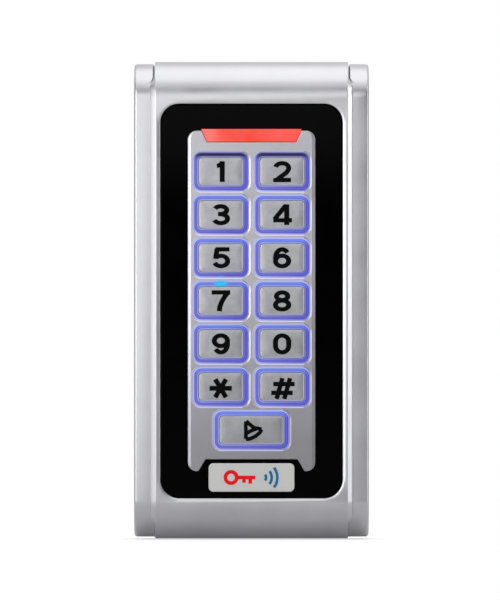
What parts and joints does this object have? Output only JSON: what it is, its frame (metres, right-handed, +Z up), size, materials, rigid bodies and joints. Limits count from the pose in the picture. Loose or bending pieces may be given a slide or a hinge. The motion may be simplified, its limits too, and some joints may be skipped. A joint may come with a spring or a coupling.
{
  "type": "keypad access reader",
  "caption": "Wall-mounted metal access keypad with a black window panel, backlit silver keys, red status lens, sealed rear cover and wall plate.",
  "frame": {"origin": "middle of the wall plate's back face, which sits on the wall", "axes": "+Z up along the keypad's height, +X to the right of a person facing it, the front faces -Y and +Y points into the wall"},
  "size_m": [0.0726, 0.025, 0.148],
  "materials": {
    "zinc": "satin cast metal",
    "silver": "satin silver",
    "cap": "satin silver with printed black figure",
    "black_gloss": "gloss",
    "red_lens": "glossy translucent, lit red",
    "lit_guide": "translucent, lit blue-violet",
    "badge": "satin",
    "white_plastic": "matte",
    "silicone": "matte translucent",
    "seal": "matte",
    "board": "solder mask",
    "chip": "matte",
    "copper": "enamelled wire",
    "relay": "satin",
    "tin": "satin",
    "dark_plastic": "moulded",
    "steel": "zinc plated",
    "clear": "clear",
    "blue_led": "gloss"
  },
  "bodies": {
    "case": {"front_housing": "zinc", "black_bezel": "black_gloss", "keypad_plate": "silver", "status_lens": "red_lens", "light_guide": "lit_guide", "nameplate": "badge", "key_frame": "white_plastic", "key_mat": "silicone", "bezel_seal": "seal", "main_board": "board", "micro_chip": "chip", "reader_chip": "chip", "relay": "relay", "buzzer": "dark_plastic", "capacitor": "tin", "wire_header": "white_plastic", "antenna_coil": "copper", "tamper_sensor": "clear", "rear_cover": "dark_plastic", "rear_gasket": "seal", "tamper_window": "clear", "cable_grommet": "seal", "mounting_plate": "steel", "security_screw": "steel", "status_led_1": "white_plastic", "status_led_2": "white_plastic", "status_led_3": "white_plastic", "backlight_led_1": "blue_led", "backlight_led_2": "blue_led", "backlight_led_3": "blue_led", "backlight_led_4": "blue_led", "backlight_led_5": "blue_led", "backlight_led_6": "blue_led", "board_screw_1": "steel", "case_screw_1": "steel", "board_screw_2": "steel", "case_screw_2": "steel", "board_screw_3": "steel", "case_screw_3": "steel", "board_screw_4": "steel", "case_screw_4": "steel"},
    "key_1": {"key_1": "cap"},
    "key_2": {"key_2": "cap"},
    "key_3": {"key_3": "cap"},
    "key_4": {"key_4": "cap"},
    "key_5": {"key_5": "cap"},
    "key_6": {"key_6": "cap"},
    "key_7": {"key_7": "cap"},
    "key_8": {"key_8": "cap"},
    "key_9": {"key_9": "cap"},
    "key_0": {"key_0": "cap"},
    "key_star": {"key_star": "cap"},
    "key_hash": {"key_hash": "cap"},
    "key_bell": {"key_bell": "cap"}
  },
  "joints": [
    {"name": "key_1_press", "type": "slide", "parent": "case", "child": "key_1", "axis": [0, 1, 0], "range_m": [0, 0.0008], "stiffness_N_per_m": 600, "deforming": ["key_mat"]},
    {"name": "key_2_press", "type": "slide", "parent": "case", "child": "key_2", "axis": [0, 1, 0], "range_m": [0, 0.0008], "stiffness_N_per_m": 600, "deforming": ["key_mat"]},
    {"name": "key_3_press", "type": "slide", "parent": "case", "child": "key_3", "axis": [0, 1, 0], "range_m": [0, 0.0008], "stiffness_N_per_m": 600, "deforming": ["key_mat"]},
    {"name": "key_4_press", "type": "slide", "parent": "case", "child": "key_4", "axis": [0, 1, 0], "range_m": [0, 0.0008], "stiffness_N_per_m": 600, "deforming": ["key_mat"]},
    {"name": "key_5_press", "type": "slide", "parent": "case", "child": "key_5", "axis": [0, 1, 0], "range_m": [0, 0.0008], "stiffness_N_per_m": 600, "deforming": ["key_mat"]},
    {"name": "key_6_press", "type": "slide", "parent": "case", "child": "key_6", "axis": [0, 1, 0], "range_m": [0, 0.0008], "stiffness_N_per_m": 600, "deforming": ["key_mat"]},
    {"name": "key_7_press", "type": "slide", "parent": "case", "child": "key_7", "axis": [0, 1, 0], "range_m": [0, 0.0008], "stiffness_N_per_m": 600, "deforming": ["key_mat"]},
    {"name": "key_8_press", "type": "slide", "parent": "case", "child": "key_8", "axis": [0, 1, 0], "range_m": [0, 0.0008], "stiffness_N_per_m": 600, "deforming": ["key_mat"]},
    {"name": "key_9_press", "type": "slide", "parent": "case", "child": "key_9", "axis": [0, 1, 0], "range_m": [0, 0.0008], "stiffness_N_per_m": 600, "deforming": ["key_mat"]},
    {"name": "key_0_press", "type": "slide", "parent": "case", "child": "key_0", "axis": [0, 1, 0], "range_m": [0, 0.0008], "stiffness_N_per_m": 600, "deforming": ["key_mat"]},
    {"name": "key_star_press", "type": "slide", "parent": "case", "child": "key_star", "axis": [0, 1, 0], "range_m": [0, 0.0008], "stiffness_N_per_m": 600, "deforming": ["key_mat"]},
    {"name": "key_hash_press", "type": "slide", "parent": "case", "child": "key_hash", "axis": [0, 1, 0], "range_m": [0, 0.0008], "stiffness_N_per_m": 600, "deforming": ["key_mat"]},
    {"name": "key_bell_press", "type": "slide", "parent": "case", "child": "key_bell", "axis": [0, 1, 0], "range_m": [0, 0.0008], "stiffness_N_per_m": 600, "deforming": ["key_mat"]}
  ]
}
